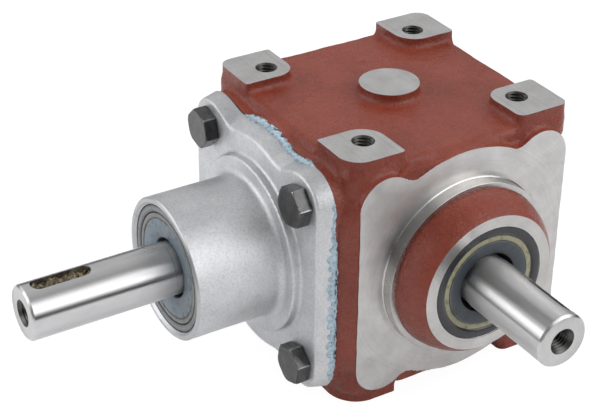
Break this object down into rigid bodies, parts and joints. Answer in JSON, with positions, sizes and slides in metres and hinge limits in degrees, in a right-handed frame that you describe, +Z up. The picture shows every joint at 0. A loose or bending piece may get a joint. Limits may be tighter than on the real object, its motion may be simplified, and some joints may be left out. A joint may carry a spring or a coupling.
{
  "type": "right-angle bevel gearbox",
  "caption": "Right-angle bevel gearbox with a cast iron cube housing, an aluminium side cover with a long bearing nose, and two keyed shafts joined by mitre gears.",
  "frame": {"origin": "centre of the four threaded holes in the bottom pads, on the pads' faces", "axes": "+Z up; the input shaft leaves at -X and the output shaft at -Y, both 50 mm above the origin"},
  "size_m": [0.192, 0.1542, 0.1],
  "materials": {
    "cast_iron_red": "oxide red primer on rough casting, bare machined faces",
    "cast_aluminium": "satin cast and turned",
    "sealant": "cured pale blue sealant",
    "black_steel": "black oxide",
    "black_rubber": "moulded",
    "blue_rubber": "moulded",
    "spring_steel": "phosphated",
    "ground_steel": "fine turned and ground",
    "gear_steel": "hardened, oiled",
    "key_steel": "drawn",
    "bearing_steel": "ground",
    "ball_steel": "polished",
    "cage_brass": "pressed"
  },
  "bodies": {
    "housing_body": {"housing": "cast_iron_red", "side_cover": "cast_aluminium", "cover_sealant": "sealant", "cover_bolts": "black_steel", "rear_cap": "black_rubber", "input_seal": "blue_rubber", "output_seal": "black_rubber", "input_bore_circlip": "spring_steel", "front_bore_circlip": "spring_steel", "rear_bore_circlip": "spring_steel", "nose_bearing_outer_race": "bearing_steel", "pinion_bearing_outer_race": "bearing_steel", "front_bearing_outer_race": "bearing_steel", "rear_bearing_outer_race": "bearing_steel"},
    "input": {"input_shaft": "ground_steel", "pinion_gear": "gear_steel", "pinion_key": "key_steel", "pinion_circlip": "spring_steel", "pinion_spacer": "key_steel", "bearing_spacer": "key_steel", "input_shaft_circlip": "spring_steel", "nose_bearing_inner_race": "bearing_steel", "pinion_bearing_inner_race": "bearing_steel"},
    "output": {"output_shaft": "ground_steel", "crown_gear": "gear_steel", "crown_key": "key_steel", "rear_shaft_circlip": "spring_steel", "front_bearing_inner_race": "bearing_steel", "rear_bearing_inner_race": "bearing_steel"},
    "nose_bearing_balls_and_cage": {"nose_bearing_balls": "ball_steel", "nose_bearing_cage": "cage_brass"},
    "pinion_bearing_balls_and_cage": {"pinion_bearing_balls": "ball_steel", "pinion_bearing_cage": "cage_brass"},
    "front_bearing_balls_and_cage": {"front_bearing_balls": "ball_steel", "front_bearing_cage": "cage_brass"},
    "rear_bearing_balls_and_cage": {"rear_bearing_balls": "ball_steel", "rear_bearing_cage": "cage_brass"}
  },
  "joints": [
    {"name": "input_spin", "type": "hinge", "parent": "housing_body", "child": "input", "pos_m": [-0.08, 0, 0.05], "axis": [1, 0, 0], "continuous": true},
    {"name": "output_spin", "type": "hinge", "parent": "housing_body", "child": "output", "pos_m": [0, -0.05, 0.05], "axis": [0, 1, 0], "continuous": true},
    {"name": "nose_bearing_cage_spin", "type": "hinge", "parent": "housing_body", "child": "nose_bearing_balls_and_cage", "pos_m": [-0.0763, 0, 0.05], "axis": [1, 0, 0], "continuous": true},
    {"name": "pinion_bearing_cage_spin", "type": "hinge", "parent": "housing_body", "child": "pinion_bearing_balls_and_cage", "pos_m": [-0.0483, 0, 0.05], "axis": [1, 0, 0], "continuous": true},
    {"name": "front_bearing_cage_spin", "type": "hinge", "parent": "housing_body", "child": "front_bearing_balls_and_cage", "pos_m": [0, -0.0495, 0.05], "axis": [0, 1, 0], "continuous": true},
    {"name": "rear_bearing_cage_spin", "type": "hinge", "parent": "housing_body", "child": "rear_bearing_balls_and_cage", "pos_m": [0, 0.037, 0.05], "axis": [0, 1, 0], "continuous": true}
  ],
  "couplings": [
    {"joint": "output_spin", "follows": "input_spin", "ratio": 1},
    {"joint": "nose_bearing_cage_spin", "follows": "input_spin", "ratio": 0.3815},
    {"joint": "pinion_bearing_cage_spin", "follows": "input_spin", "ratio": 0.3815},
    {"joint": "front_bearing_cage_spin", "follows": "input_spin", "ratio": 0.3976},
    {"joint": "rear_bearing_cage_spin", "follows": "input_spin", "ratio": 0.3976}
  ]
}
